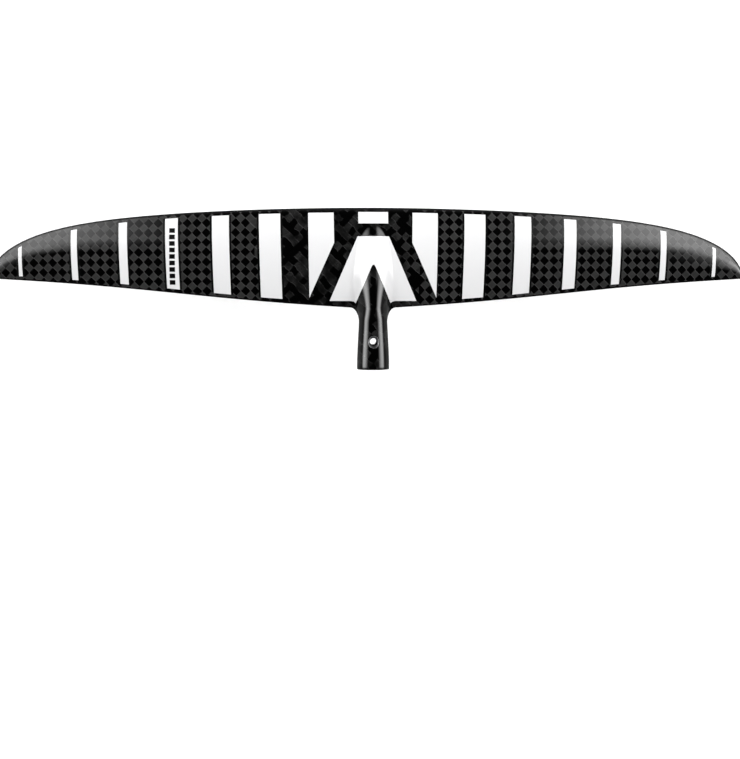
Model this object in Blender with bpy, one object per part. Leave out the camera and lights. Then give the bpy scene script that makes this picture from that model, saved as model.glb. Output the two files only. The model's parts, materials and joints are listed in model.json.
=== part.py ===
"""Front wing of a hydrofoil, built as a moulder builds it.

Two carbon skins close over foam cores, a spar and a laminated root.  The root carries
a tapered socket that opens to the rear, where the fuselage goes in and is held by three
screws from below.  X runs along the span, +Y is forward and +Z is up.  The origin is the
middle of the socket's mouth.  Lengths are in metres.
"""
import math
from collections import Counter

import bmesh
import bpy

# Planform
HALF_SPAN = 0.448
LEADING_EDGE_Y = 0.1875        # leading edge on the centreline
TRAILING_EDGE_Y = 0.0698       # trailing edge, carried on to the centreline
LE_SWEEP = 0.025               # even sweep of the leading edge, centre to tip
LE_TIP_RAKE = 0.057            # extra sweep that rounds the tip
LE_TIP_POWER = 7
TE_SWEEP = 0.0354              # forward sweep of the trailing edge
TE_WAVE = 0.27                 # straighter at both ends than in the middle
TIP_ETA = 0.9995               # share of the half span where the tip is closed
TIP_DROOP = 0.0245
DROOP_POWER = 1.7

# Section
ROOT_THICKNESS = 0.112         # shares of the chord
TIP_THICKNESS = 0.090
CAMBER = 0.030
EDGE_HALF = 0.0003             # half the thickness left at the moulded edges

# Tail and fairing
JOIN_X = 0.0265                # where the wing panels end and the centre begins
WING_DROP = 0.0040             # the wing's chord lies this far below the tail's middle
NECK_Y = 0.0547
NECK_HALF = 0.0165
MOUTH_HALF = 0.0187
MOUTH_ROUND = 0.0010
FLARE_POWER = 1.15             # more is a softer start behind the neck
RIDGE_TOP = 0.0150             # top of the tail above the parting plane
TAIL_ROUNDNESS = 0.5           # power of the cross section: 0.5 is an ellipse
FAIRING_ROUNDNESS = 1.3        # more than 1 runs out into the wing in a hollow curve
FAIRING_WIDE_Y = 0.0950        # the fairing is widest here
FAIRING_HALF = 0.0240
FAIRING_NOSE_Y = 0.1680
FAIRING_NOSE_POWER = 1.5       # more is a sharper nose
BELLY_DEPTH = 0.0145
BELLY_START_Y = 0.0660         # the belly starts to rise here
BELLY_RISE_POWER = 1.7
BELLY_NOSE_Y = 0.1210
BELLY_NOSE_HALF = 0.0040
BELLY_FOOT_Y = 0.0770
BELLY_FOOT_HALF = 0.0200
BELLY_FLAT_HALF = 0.0060       # flat band that the screws enter
BELLY_FLAT_SHARE = 0.75        # of the half width, where the belly is narrow
TAIL_CREASE = 0.35             # 0 is a round flank and 1 a flat facet
NOSE_CREASE = 0.95

# Laminate
GAP = 0.0003
PACKING = 0.0002               # extra room left around the saddles
ROOT_SKIN = 0.0013
TIP_SKIN = 0.0007

# Socket
SLEEVE_WALL = 0.0015
SLEEVE_LENGTH = 0.1080
SLEEVE_STEPS = 6
PLUG_LENGTH = 0.0060
BORE_HALF = (0.0142, 0.0085)   # half width at the mouth and at the blind end
BORE_TOP = (0.0105, 0.0090)
BORE_BOTTOM = (-0.0105, -0.0045)
BORE_POWER = 2.1               # 2 is an ellipse, more is squarer

# Screws
SCREW_Y = {"rear": 0.032, "middle": 0.065, "front": 0.098}
SCREW_BORE = 0.0039            # radii
SCREW_HEAD = 0.0066
FERRULE_RIM = 0.0071
FERRULE_BARREL = 0.0052
RIM_DEPTH = 0.0012
CONE_DEPTH = 0.0035             # a cone of 90 degrees and the land below it
CONE_LAND = 0.0008             # metal left below the cone
FERRULE_SHORT = 0.0002         # how far a ferrule stops short of the socket's wall
CUTTER_BEYOND = 0.0040
TOP_BORE = 0.0045

# Where the inner pieces lie, as shares of the chord behind the leading edge
FILLER_CHORD = (0.022, 0.055)
FRONT_CORE_CHORD = (0.060, 0.268)
SPAR_CHORD = (0.272, 0.440)
REAR_CORE_CHORD = (0.444, 0.795)
TRAIL_CHORD = (0.800, 0.870)
STRIP_ETA = 0.60
CORE_ETA = 0.86
TIP_BLOCK_ETA = (0.863, 0.920)
TIP_BLOCK_CHORD = (0.120, 0.745)
SPAR_CAP_SHARE = 0.20          # of the room between the skins
SADDLE_HALF = 0.0148
CORE_ROOT_X = 0.0175
SADDLE_Y = (0.0006, 0.1355)

# Grid
CHORD_STEPS = 16
NOSE_STEPS = 7                 # of which bunched towards the leading edge
NOSE_TURN = math.radians(55.4)
PANEL_STEPS = 10
PANEL_BUNCHING = 1.5           # more puts the panel stations nearer the tip
CENTRE_STEPS = 8               # from the middle to one side
FLAT_STEPS = 2                 # of which to the edge of the flat band
FOOT_STEPS = 5                 # and to the foot of the belly
FILLET_STEPS = 5
TAIL_Y = (0.043, 0.030, 0.016, MOUTH_ROUND, 0.3 * MOUTH_ROUND, 0.0)
ROUND_STEPS = 24
STATION_MARGIN = 0.0010        # rows of the grid closer than this to an end are left out
ROW_MARGIN = 0.0015
SHARE_MARGIN = 0.01            # of the chord
NORMAL_PROBE = 0.0004
BISECTIONS = 24
SHARP_ANGLE = math.radians(35)

MATERIALS = {
    "carbon": ((0.018, 0.018, 0.020), 0.18, 0.0),
    "laminate": ((0.035, 0.035, 0.038), 0.45, 0.0),
    "spar_carbon": ((0.05, 0.05, 0.055), 0.5, 0.0),
    "foam": ((0.78, 0.70, 0.52), 0.9, 0.0),
    "dense_foam": ((0.55, 0.62, 0.48), 0.9, 0.0),
    "resin": ((0.42, 0.36, 0.22), 0.55, 0.0),
    "metal": ((0.42, 0.42, 0.43), 0.35, 1.0),
}


def clear_scene():
    for thing in list(bpy.data.objects):
        bpy.data.objects.remove(thing, do_unlink=True)


def mix(a, b, t):
    return a + (b - a) * t


def smooth(t):
    t = min(max(t, 0.0), 1.0)
    return t * t * (3.0 - 2.0 * t)


def arc(t):
    """Height of a quarter ellipse, 1 at t = 0 and 0 from t = 1 on."""
    return math.sqrt(max(1.0 - t * t, 0.0))


# ---- the mould: one height above and one below each plan point ----

def leading_edge(x):
    eta = min(abs(x) / HALF_SPAN, 1.0)
    return LEADING_EDGE_Y - LE_SWEEP * eta ** 2 - LE_TIP_RAKE * (1.0 - arc(eta ** (LE_TIP_POWER / 2)))


def trailing_edge(x):
    eta = min(abs(x) / HALF_SPAN, 1.0)
    wave = TE_WAVE * math.sin(2.0 * math.pi * eta) / (2.0 * math.pi)
    return TRAILING_EDGE_Y + TE_SWEEP * (eta - wave)


JOIN_Y = trailing_edge(JOIN_X)


def chord_share(x, y):
    front = leading_edge(x)
    return min(max((front - y) / (front - trailing_edge(x)), 0.0), 1.0)


def middle(x, y):
    """Camber surface, where the two skins part."""
    share = chord_share(x, y)
    chord = leading_edge(x) - trailing_edge(x)
    eta = min(abs(x) / HALF_SPAN, 1.0)
    sunk = WING_DROP * smooth((y - NECK_Y) / (JOIN_Y - NECK_Y))
    return 4.0 * CAMBER * chord * share * (1.0 - share) - TIP_DROOP * eta ** DROOP_POWER - sunk


def half_thickness(x, y):
    s = chord_share(x, y)
    chord = leading_edge(x) - trailing_edge(x)
    ratio = mix(ROOT_THICKNESS, TIP_THICKNESS, min(abs(x) / HALF_SPAN, 1.0))
    shape = 0.2969 * math.sqrt(s) - 0.1260 * s - 0.3516 * s ** 2 + 0.2843 * s ** 3 - 0.1036 * s ** 4
    return 5.0 * ratio * chord * shape + EDGE_HALF


def tail_half(y):
    """Half width of the outline behind the wing: flared tail, then the fillet."""
    if y <= NECK_Y:
        behind = ((NECK_Y - y) / NECK_Y) ** FLARE_POWER
        return mix(NECK_HALF, MOUTH_HALF, math.sin(0.5 * math.pi * behind))
    return JOIN_X - (JOIN_X - NECK_HALF) * arc((y - NECK_Y) / (JOIN_Y - NECK_Y))


def fairing(x, y):
    """Height of the fairing and tail above the wing's upper surface."""
    if y <= NECK_Y:
        half = tail_half(y)
    elif y <= FAIRING_WIDE_Y:
        half = mix(NECK_HALF, FAIRING_HALF, smooth((y - NECK_Y) / (FAIRING_WIDE_Y - NECK_Y)))
    else:
        half = FAIRING_HALF * arc((y - FAIRING_WIDE_Y) / (FAIRING_NOSE_Y - FAIRING_WIDE_Y))
    if abs(x) >= half:
        return 0.0
    nose = middle(0.0, FAIRING_NOSE_Y) + half_thickness(0.0, FAIRING_NOSE_Y)
    along = max((y - FAIRING_WIDE_Y) / (FAIRING_NOSE_Y - FAIRING_WIDE_Y), 0.0)
    ridge = nose + (RIDGE_TOP - nose) * arc(along) ** FAIRING_NOSE_POWER
    rise = max(ridge - middle(0.0, y) - half_thickness(0.0, y), 0.0)
    ahead = smooth((y - NECK_Y) / (FAIRING_WIDE_Y - NECK_Y))
    return rise * (1.0 - (x / half) ** 2) ** mix(TAIL_ROUNDNESS, FAIRING_ROUNDNESS, ahead)


def belly_half(y):
    """Half width of the belly's foot, and of the flat band along its middle."""
    if y <= NECK_Y:
        half = tail_half(y)
    elif y <= BELLY_FOOT_Y:
        half = mix(NECK_HALF, BELLY_FOOT_HALF, smooth((y - NECK_Y) / (BELLY_FOOT_Y - NECK_Y)))
        half = min(half, tail_half(min(y, JOIN_Y)))
    else:
        along = (y - BELLY_FOOT_Y) / (BELLY_NOSE_Y - BELLY_FOOT_Y)
        half = mix(BELLY_FOOT_HALF, BELLY_NOSE_HALF, min(along, 1.0))
    return half, min(BELLY_FLAT_HALF, BELLY_FLAT_SHARE * half)


def belly(x, y):
    """Depth of the belly and tail below the wing's lower surface."""
    half, flat = belly_half(y)
    if abs(x) >= half or y >= BELLY_NOSE_Y:
        return 0.0
    nose = middle(0.0, BELLY_NOSE_Y) - half_thickness(0.0, BELLY_NOSE_Y)
    rising = max((y - BELLY_START_Y) / (BELLY_NOSE_Y - BELLY_START_Y), 0.0)
    keel = mix(-BELLY_DEPTH, nose, rising ** BELLY_RISE_POWER)
    drop = max(middle(0.0, y) - half_thickness(0.0, y) - keel, 0.0)
    out = max(abs(x) - flat, 0.0) / (half - flat)
    crease = TAIL_CREASE * smooth(y / SCREW_Y["rear"])
    crease = mix(crease, NOSE_CREASE, smooth((y - NECK_Y) / (BELLY_NOSE_Y - NECK_Y)))
    return drop * (1.0 - crease * out - (1.0 - crease) * (1.0 - arc(out)))


def mould(x, y, side):
    """Height of the outer surface: side is 1 for the top and -1 for the bottom."""
    bulge = fairing(x, y) if side > 0 else belly(x, y)
    return middle(x, y) + side * (half_thickness(x, y) + bulge)


def mouth_inset(y):
    """How far the outside is rounded in at the socket's mouth."""
    return MOUTH_ROUND * (1.0 - arc(1.0 - y / MOUTH_ROUND)) if y < MOUTH_ROUND else 0.0


def outside(side):
    def height(x, y):
        surface = mould(x, y, side)
        edge = middle(x, y) + side * EDGE_HALF
        return edge + max(side * (surface - edge) - mouth_inset(y), 0.0) * side
    return height


def inside(side, depth):
    """The mould surface moved in by depth(x) along its normal, and kept off the parting."""
    def rise(x, y, step_x, step_y):
        ahead, behind = mould(x + step_x, y + step_y, side), mould(x - step_x, y - step_y, side)
        return (ahead - behind) / (2.0 * NORMAL_PROBE)

    def height(x, y):
        slopes = rise(x, y, NORMAL_PROBE, 0.0), rise(x, y, 0.0, NORMAL_PROBE)
        thick = depth(x) * math.sqrt(1.0 + slopes[0] ** 2 + slopes[1] ** 2)
        room = side * (mould(x, y, side) - middle(x, y)) - thick
        return middle(x, y) + side * max(room, GAP / 2)
    return height


def skin_depth(x):
    return mix(ROOT_SKIN, TIP_SKIN, abs(x) / HALF_SPAN)


def core_depth(x):
    return skin_depth(x) + GAP


# ---- solids ----

def finish(mesh, name, material):
    data = bpy.data.meshes.new(name)
    mesh.normal_update()
    mesh.to_mesh(data)
    mesh.free()
    data.materials.append(bpy.data.materials[material])
    thing = bpy.data.objects.new(name, data)
    bpy.context.scene.collection.objects.link(thing)
    data.shade_smooth()
    data.set_sharp_from_angle(angle=SHARP_ANGLE)
    return thing


def slab(name, grid, cells, upper, lower, material, lower_grid=None):
    """Closed solid between two height functions, over cells of plan points."""
    mesh = bmesh.new()
    lower_grid = lower_grid or grid
    top = {key: mesh.verts.new((x, y, upper(x, y))) for key, (x, y) in grid.items()}
    bottom = {key: mesh.verts.new((x, y, lower(x, y))) for key, (x, y) in lower_grid.items()}
    edges = Counter()
    for cell in cells:
        mesh.faces.new([top[key] for key in cell])
        mesh.faces.new([bottom[key] for key in reversed(cell)])
        edges.update(zip(cell, cell[1:] + cell[:1]))
    for a, b in edges:
        if (b, a) not in edges:
            mesh.faces.new((top[b], top[a], bottom[a], bottom[b]))
    return finish(mesh, name, material)


def patch(columns, rows):
    """Triangles of a grid whose columns run along +X and whose rows run along -Y."""
    cells = []
    for i in columns:
        for j in rows:
            a, b, c, d = (i, j), (i, j + 1), (i + 1, j + 1), (i + 1, j)
            cells += [(a, b, c), (a, c, d)]
    return cells


def centre_x(k, y, side):
    """Column k of the centre at y.  Columns keep to the edges of the flat band and belly."""
    step = abs(k)
    half = tail_half(min(y, JOIN_Y)) - mouth_inset(y)
    foot, flat = belly_half(y)
    if side > 0:
        foot, flat = half * FOOT_STEPS / CENTRE_STEPS, half * FLAT_STEPS / CENTRE_STEPS
    if step <= FLAT_STEPS:
        return math.copysign(flat * step / FLAT_STEPS, k)
    if step <= FOOT_STEPS:
        ahead = mix(flat, foot, (step - FLAT_STEPS) / (FOOT_STEPS - FLAT_STEPS))
    else:
        ahead = mix(foot, half, (step - FOOT_STEPS) / (CENTRE_STEPS - FOOT_STEPS))
    turn = 0.5 * math.pi * (step - FLAT_STEPS) / (CENTRE_STEPS - FLAT_STEPS)
    behind = mix(flat, half, math.sin(turn))
    blend = smooth((y - NECK_Y) / (JOIN_Y - NECK_Y))
    return math.copysign(mix(behind, ahead, blend), k)


def panel_stations():
    """Span positions of the panels, shared by the pieces so that their facets match."""
    return [mix(JOIN_X, TIP_ETA * HALF_SPAN, 1.0 - (1.0 - k / PANEL_STEPS) ** PANEL_BUNCHING)
            for k in range(1, PANEL_STEPS + 1)]


def stations():
    panel = panel_stations()
    centre = [JOIN_X * k / CENTRE_STEPS for k in range(-CENTRE_STEPS, CENTRE_STEPS + 1)]
    return [-x for x in reversed(panel)] + centre + panel


def chord_shares():
    """Shares of the chord used by every piece: bunched at the leading edge, even behind."""
    front = [1.0 - math.cos(NOSE_TURN * j / NOSE_STEPS) for j in range(NOSE_STEPS + 1)]
    rear_steps = CHORD_STEPS - NOSE_STEPS
    return front + [mix(front[-1], 1.0, k / rear_steps) for k in range(1, rear_steps + 1)]


def clip(values, low, high, margin):
    """The values well inside low and high, with both ends added."""
    return [low] + [v for v in values if low + margin < v < high - margin] + [high]


def plan_point(x, share):
    back = max(trailing_edge(x), JOIN_Y)
    return x, mix(leading_edge(x), back, share)


def chord_patch(x_low, x_high, chord):
    """A grid over a stretch of span and a share of the chord."""
    xs = clip(stations(), x_low, x_high, STATION_MARGIN)
    shares = clip(chord_shares(), *chord, SHARE_MARGIN)
    grid = {(i, j): plan_point(x, share) for i, x in enumerate(xs) for j, share in enumerate(shares)}
    return grid, patch(range(len(xs) - 1), range(len(shares) - 1))


def tail_rows():
    fillet = [mix(NECK_Y, JOIN_Y, math.cos(0.5 * math.pi * k / FILLET_STEPS))
              for k in range(1, FILLET_STEPS + 1)]
    return fillet + list(TAIL_Y)


def skin_grid(side):
    """Plan points of a skin: two panels, the centre, and the tail behind it."""
    xs = stations()
    centre = range(PANEL_STEPS, PANEL_STEPS + 2 * CENTRE_STEPS + 1)
    grid = {(i, j): plan_point(x, share)
            for i, x in enumerate(xs) for j, share in enumerate(chord_shares())}
    for i in centre:
        column = i - PANEL_STEPS - CENTRE_STEPS
        for j, share in enumerate(chord_shares()):
            x = centre_x(column, grid[i, j][1], side)
            grid[i, j] = plan_point(x, share)
        for j, y in enumerate(tail_rows(), CHORD_STEPS + 1):
            grid[i, j] = (centre_x(column, y, side), y)
    cells = patch(range(len(xs) - 1), range(CHORD_STEPS))
    cells += patch(centre[:-1], range(CHORD_STEPS, CHORD_STEPS + len(tail_rows())))
    return grid, cells


def ring(radius, y, height):
    """Loop about a screw's axis at y.  height gives each point's z from its x and y."""
    loop = []
    for k in range(ROUND_STEPS):
        angle = 2.0 * math.pi * k / ROUND_STEPS
        point = radius * math.cos(angle), y + radius * math.sin(angle)
        loop.append((*point, height(*point)))
    return loop


def loft(name, loops, material, closed_ring=False):
    """Closed solid through loops of points: capped at both ends, or joined in a ring."""
    mesh = bmesh.new()
    rows = [[mesh.verts.new(point) for point in loop] for loop in loops]
    pairs = list(zip(rows, rows[1:]))
    if closed_ring:
        pairs.append((rows[-1], rows[0]))
    for low, high in pairs:
        for k in range(len(low)):
            n = (k + 1) % len(low)
            mesh.faces.new((low[k], low[n], high[n], high[k]))
    if not closed_ring:
        mesh.faces.new(list(reversed(rows[0])))
        mesh.faces.new(rows[-1])
    bmesh.ops.recalc_face_normals(mesh, faces=mesh.faces)
    return finish(mesh, name, material)


def cut(thing, cutter):
    cutter.hide_render = True
    cutter.display_type = "WIRE"
    boolean = thing.modifiers.new("cut_" + cutter.name, "BOOLEAN")
    boolean.operation = "DIFFERENCE"
    boolean.object = cutter


# ---- socket ----

def bore_size(y):
    """Half width, centre height and half height of the tapered bore."""
    along = y / SLEEVE_LENGTH
    top, bottom = mix(*BORE_TOP, along), mix(*BORE_BOTTOM, along)
    return mix(*BORE_HALF, along), (top + bottom) / 2, (top - bottom) / 2


def bore_loop(y, extra):
    half, centre, tall = bore_size(y)
    loop = []
    for k in range(ROUND_STEPS):
        angle = 2.0 * math.pi * k / ROUND_STEPS
        c, s = math.cos(angle), math.sin(angle)
        x = (half + extra) * math.copysign(abs(c) ** (2.0 / BORE_POWER), c)
        z = (tall + extra) * math.copysign(abs(s) ** (2.0 / BORE_POWER), s)
        loop.append((x, y, centre + z))
    return loop


def sleeve_surface(side):
    """The sleeve's outside with the gap added, or the parting where there is no sleeve."""
    extra = SLEEVE_WALL + GAP

    def height(x, y):
        half, centre, tall = bore_size(y)
        parting = middle(x, y) + side * GAP / 2
        share = 1.0 - (abs(x) / (half + extra)) ** BORE_POWER
        if share <= 0.0 or y > SLEEVE_LENGTH + 1.5 * GAP:
            return parting
        shell = centre + side * (tall + extra) * share ** (1.0 / BORE_POWER)
        return max(shell, parting) if side > 0 else min(shell, parting)
    return height


def saddle_reach(y, surface, side):
    """Half width out to which a saddle still has some thickness."""
    def thick(x):
        return side * (surface(x, y) - middle(x, y)) > 2.0 * GAP

    low = bore_size(y)[0] + SLEEVE_WALL
    high = tail_half(y) if y < NECK_Y else SADDLE_HALF
    if y > JOIN_Y and thick(high):
        return high
    for _ in range(BISECTIONS):
        x = (low + high) / 2
        low, high = (x, high) if thick(x) else (low, x)
    return low


def build_saddle(side, name):
    """Laminate packed between a skin and the sleeve, from the mouth to the spar."""
    surface = inside(side, lambda x: core_depth(x) + PACKING)
    rows = [plan_point(0.0, share)[1] for share in chord_shares()] + tail_rows()
    rows += [SLEEVE_LENGTH + 2 * GAP, SLEEVE_LENGTH + GAP]
    ys = clip(sorted(rows), *SADDLE_Y, ROW_MARGIN)[::-1]
    skin_side, sleeve_side = {}, {}
    for j, y in enumerate(ys):
        inner = bore_size(y)[0] + SLEEVE_WALL + GAP
        reach = saddle_reach(y, surface, side)
        if side < 0:
            reach = min(reach, belly_half(y)[0])
        for k in range(-CENTRE_STEPS, CENTRE_STEPS + 1):
            step = abs(k)
            key = (k + CENTRE_STEPS, j)
            limit = reach - (CENTRE_STEPS - step) * PACKING
            x = reach if step == CENTRE_STEPS else min(abs(centre_x(k, y, side)), limit)
            skin_side[key] = (math.copysign(x, k), y)
            if step < CENTRE_STEPS:
                x = min(inner, reach - PACKING) * math.sin(0.5 * math.pi * step / (CENTRE_STEPS - 1))
            sleeve_side[key] = (math.copysign(x, k), y)
    cells = patch(range(2 * CENTRE_STEPS), range(len(ys) - 1))
    shell = sleeve_surface(side)
    if side > 0:
        return slab(name, skin_side, cells, surface, shell, "laminate", sleeve_side)
    return slab(name, sleeve_side, cells, shell, surface, "laminate", skin_side)


def build_sleeve():
    rows = [k / SLEEVE_STEPS * SLEEVE_LENGTH for k in range(SLEEVE_STEPS + 1)]
    loops = [bore_loop(y, SLEEVE_WALL) for y in rows]
    loops += [bore_loop(y, 0.0) for y in reversed(rows)]
    return loft("socket_sleeve", loops, "laminate", closed_ring=True)


def build_plug():
    loops = [bore_loop(y, -GAP) for y in (SLEEVE_LENGTH - PLUG_LENGTH, SLEEVE_LENGTH)]
    return loft("socket_plug", loops, "resin")


# ---- screw ferrules ----

def ferrule_levels(y, side):
    """Heights of a ferrule's loops: the skin's outside, under the rim, below the cone, at the
    cone's foot and just short of the socket's wall."""
    face = mould(0.0, y, side)
    _, centre, tall = bore_size(y)
    wall = centre + side * (tall + FERRULE_SHORT)
    return (
        lambda x, along: mould(x, along, side),
        lambda x, along: mould(x, along, side) - side * RIM_DEPTH,
        lambda x, along: face - side * CONE_DEPTH,
        lambda x, along: face - side * (CONE_DEPTH - CONE_LAND),
        lambda x, along: wall,
    )


def build_ferrule(name, y, side, bore):
    """Metal lining of a screw hole.  Its rim lies flush with the skin all round."""
    skin, under_rim, below_cone, cone_foot, wall = ferrule_levels(y, side)
    profile = (
        (FERRULE_RIM, skin), (FERRULE_RIM, under_rim), (FERRULE_BARREL, below_cone),
        (FERRULE_BARREL, wall), (bore, wall), (bore, cone_foot), (SCREW_HEAD, skin),
    )
    loops = [ring(radius, y, height) for radius, height in profile]
    return loft(name, loops, "metal", closed_ring=True)


def build_ferrule_cutter(name, y, side):
    """The hole that a ferrule sits in: its outside with the gap added, run past both ends."""
    face = mould(0.0, y, side)
    _, under_rim, below_cone, _, wall = ferrule_levels(y, side)
    profile = (
        (FERRULE_RIM + GAP, lambda x, along: face + side * CUTTER_BEYOND),
        (FERRULE_RIM + GAP, under_rim),
        (FERRULE_BARREL + GAP, below_cone),
        (FERRULE_BARREL + GAP, lambda x, along: wall(x, along) - side * CUTTER_BEYOND / 2),
    )
    return loft(name, [ring(radius, y, height) for radius, height in profile], "metal")


# ---- the pieces ----

def build_materials():
    for name, (colour, roughness, metallic) in MATERIALS.items():
        material = bpy.data.materials.new(name)
        material.use_nodes = True
        shader = material.node_tree.nodes["Principled BSDF"]
        shader.inputs["Base Color"].default_value = (*colour, 1.0)
        shader.inputs["Roughness"].default_value = roughness
        shader.inputs["Metallic"].default_value = metallic


def build_skins():
    upper = slab("upper_skin", *skin_grid(1), outside(1), inside(1, skin_depth), "carbon")
    lower = slab("lower_skin", *skin_grid(-1), inside(-1, skin_depth), outside(-1), "carbon")
    return upper, lower


def build_spar():
    """Carbon caps under each skin with a shear web between them, from tip to tip."""
    high, low = inside(1, core_depth), inside(-1, core_depth)

    def level(share, lift):
        return lambda x, y: mix(low(x, y), high(x, y), share) + lift

    reach = CORE_ETA * HALF_SPAN
    grid, cells = chord_patch(-reach, reach, SPAR_CHORD)
    slab("upper_spar_cap", grid, cells, high, level(1 - SPAR_CAP_SHARE, GAP / 2), "spar_carbon")
    slab("lower_spar_cap", grid, cells, level(SPAR_CAP_SHARE, -GAP / 2), low, "spar_carbon")
    slab("spar_web", grid, cells, level(1 - SPAR_CAP_SHARE, -GAP / 2),
         level(SPAR_CAP_SHARE, GAP / 2), "dense_foam")


def build_cores():
    """Pieces that come in a left and a right: cores, edge fillers and tip blocks."""
    high, low = inside(1, core_depth), inside(-1, core_depth)
    reach = CORE_ETA * HALF_SPAN
    root = CORE_ROOT_X
    pieces = (
        ("front_core", GAP / 2, reach, FRONT_CORE_CHORD, "foam"),
        ("rear_core", root, reach, REAR_CORE_CHORD, "foam"),
        ("leading_edge_filler", GAP / 2, STRIP_ETA * HALF_SPAN, FILLER_CHORD, "resin"),
        ("trailing_edge_strip", JOIN_X, STRIP_ETA * HALF_SPAN, TRAIL_CHORD, "resin"),
        ("tip_block", *(eta * HALF_SPAN for eta in TIP_BLOCK_ETA), TIP_BLOCK_CHORD, "dense_foam"),
    )
    for name, start, end, chord, material in pieces:
        for side, hand in ((-1, "left"), (1, "right")):
            grid, cells = chord_patch(*sorted((side * start, side * end)), chord)
            slab(name + "_" + hand, grid, cells, high, low, material)


def build():
    clear_scene()
    build_materials()
    upper_skin, lower_skin = build_skins()
    build_spar()
    build_cores()
    upper_saddle = build_saddle(1, "upper_saddle")
    lower_saddle = build_saddle(-1, "lower_saddle")
    sleeve = build_sleeve()
    build_plug()
    for place, y in SCREW_Y.items():
        build_ferrule(place + "_screw_ferrule", y, -1, SCREW_BORE)
        cutter = build_ferrule_cutter("cutter_" + place, y, -1)
        for thing in (lower_skin, lower_saddle, sleeve):
            cut(thing, cutter)
    build_ferrule("rear_top_ferrule", SCREW_Y["rear"], 1, TOP_BORE)
    cutter = build_ferrule_cutter("cutter_rear_top", SCREW_Y["rear"], 1)
    for thing in (upper_skin, upper_saddle, sleeve):
        cut(thing, cutter)


build()
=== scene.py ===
"""Looks of a hydrofoil front wing: painted carbon skins, lined screw holes and a laminated socket.

The two skins, the socket's sleeve and the screw ferrules are rebuilt as fine surfaces in the
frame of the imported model.  X runs along the span, +Y is forward, +Z is up, lengths are metres.
"""
import json
import math

import bmesh
import bpy
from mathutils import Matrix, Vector


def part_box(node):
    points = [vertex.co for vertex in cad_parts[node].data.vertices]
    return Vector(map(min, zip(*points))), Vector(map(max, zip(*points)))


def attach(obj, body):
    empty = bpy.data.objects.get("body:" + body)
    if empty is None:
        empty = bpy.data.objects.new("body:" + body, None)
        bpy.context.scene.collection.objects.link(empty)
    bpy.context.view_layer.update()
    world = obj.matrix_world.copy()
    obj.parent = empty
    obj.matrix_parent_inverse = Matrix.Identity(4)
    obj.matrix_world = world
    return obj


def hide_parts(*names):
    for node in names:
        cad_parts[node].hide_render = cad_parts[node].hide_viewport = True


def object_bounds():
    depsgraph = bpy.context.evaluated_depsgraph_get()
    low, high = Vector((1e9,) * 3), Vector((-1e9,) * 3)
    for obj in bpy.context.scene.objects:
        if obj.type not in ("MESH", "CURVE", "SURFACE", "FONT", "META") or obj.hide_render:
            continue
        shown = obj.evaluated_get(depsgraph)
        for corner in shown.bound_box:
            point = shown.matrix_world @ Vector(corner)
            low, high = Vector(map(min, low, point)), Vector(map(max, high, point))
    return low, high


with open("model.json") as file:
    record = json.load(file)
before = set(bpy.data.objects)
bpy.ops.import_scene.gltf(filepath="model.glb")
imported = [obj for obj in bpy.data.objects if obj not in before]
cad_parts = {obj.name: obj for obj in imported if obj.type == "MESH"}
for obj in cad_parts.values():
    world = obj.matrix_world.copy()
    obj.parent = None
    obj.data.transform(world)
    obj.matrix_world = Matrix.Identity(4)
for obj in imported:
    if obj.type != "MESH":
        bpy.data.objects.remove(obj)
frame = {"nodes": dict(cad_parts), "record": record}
CAD_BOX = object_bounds()

ROOT = "root"
SKIN_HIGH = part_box("upper_skin")[1]
SLEEVE_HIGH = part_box("socket_sleeve")[1]
FERRULES = {name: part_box(name) for name in frame["nodes"] if name.endswith("_ferrule")}

# Planform
TIP_ETA = 0.9995               # share of the half span where the tip is closed
HALF_SPAN = SKIN_HIGH.x / TIP_ETA
LEADING_EDGE_Y = SKIN_HIGH.y
TRAILING_EDGE_Y = 0.0698
LE_SWEEP = 0.025
LE_TIP_RAKE = 0.057
LE_TIP_POWER = 7
TE_SWEEP = 0.0354
TE_WAVE = 0.27
TIP_DROOP = 0.0245
DROOP_POWER = 1.7

# Section
ROOT_THICKNESS = 0.112
TIP_THICKNESS = 0.090
CAMBER = 0.030
EDGE_HALF = 0.0003

# Tail, fairing and belly
JOIN_X = 0.0265
WING_DROP = 0.0040
NECK_Y = 0.0547
NECK_HALF = 0.0165
MOUTH_HALF = 0.0187
MOUTH_ROUND = 0.0010
FLARE_POWER = 1.15
RIDGE_TOP = SKIN_HIGH.z
TAIL_ROUNDNESS = 0.5
FAIRING_ROUNDNESS = 1.3
FAIRING_WIDE_Y = 0.0950
FAIRING_HALF = 0.0240
FAIRING_NOSE_Y = 0.1680
FAIRING_NOSE_POWER = 1.5
BELLY_DEPTH = 0.0145
BELLY_START_Y = 0.0660
BELLY_RISE_POWER = 1.7
BELLY_NOSE_Y = 0.1210
BELLY_NOSE_HALF = 0.0040
BELLY_FOOT_Y = 0.0770
BELLY_FOOT_HALF = 0.0200
BELLY_FLAT_HALF = 0.0060
BELLY_FLAT_SHARE = 0.75
TAIL_CREASE = 0.35
TAIL_CREASE_Y = 0.032
NOSE_CREASE = 0.95

# Laminate and socket
ROOT_SKIN = 0.0013
TIP_SKIN = 0.0007
NORMAL_PROBE = 0.0004
SLEEVE_WALL = 0.0015
SLEEVE_LENGTH = SLEEVE_HIGH.y
BORE_HALF = (0.0142, 0.0085)
BORE_TOP = (0.0105, 0.0090)
BORE_BOTTOM = (-0.0105, -0.0045)
BORE_POWER = 2.1
MOUTH_CHAMFER = 0.0005

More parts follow.
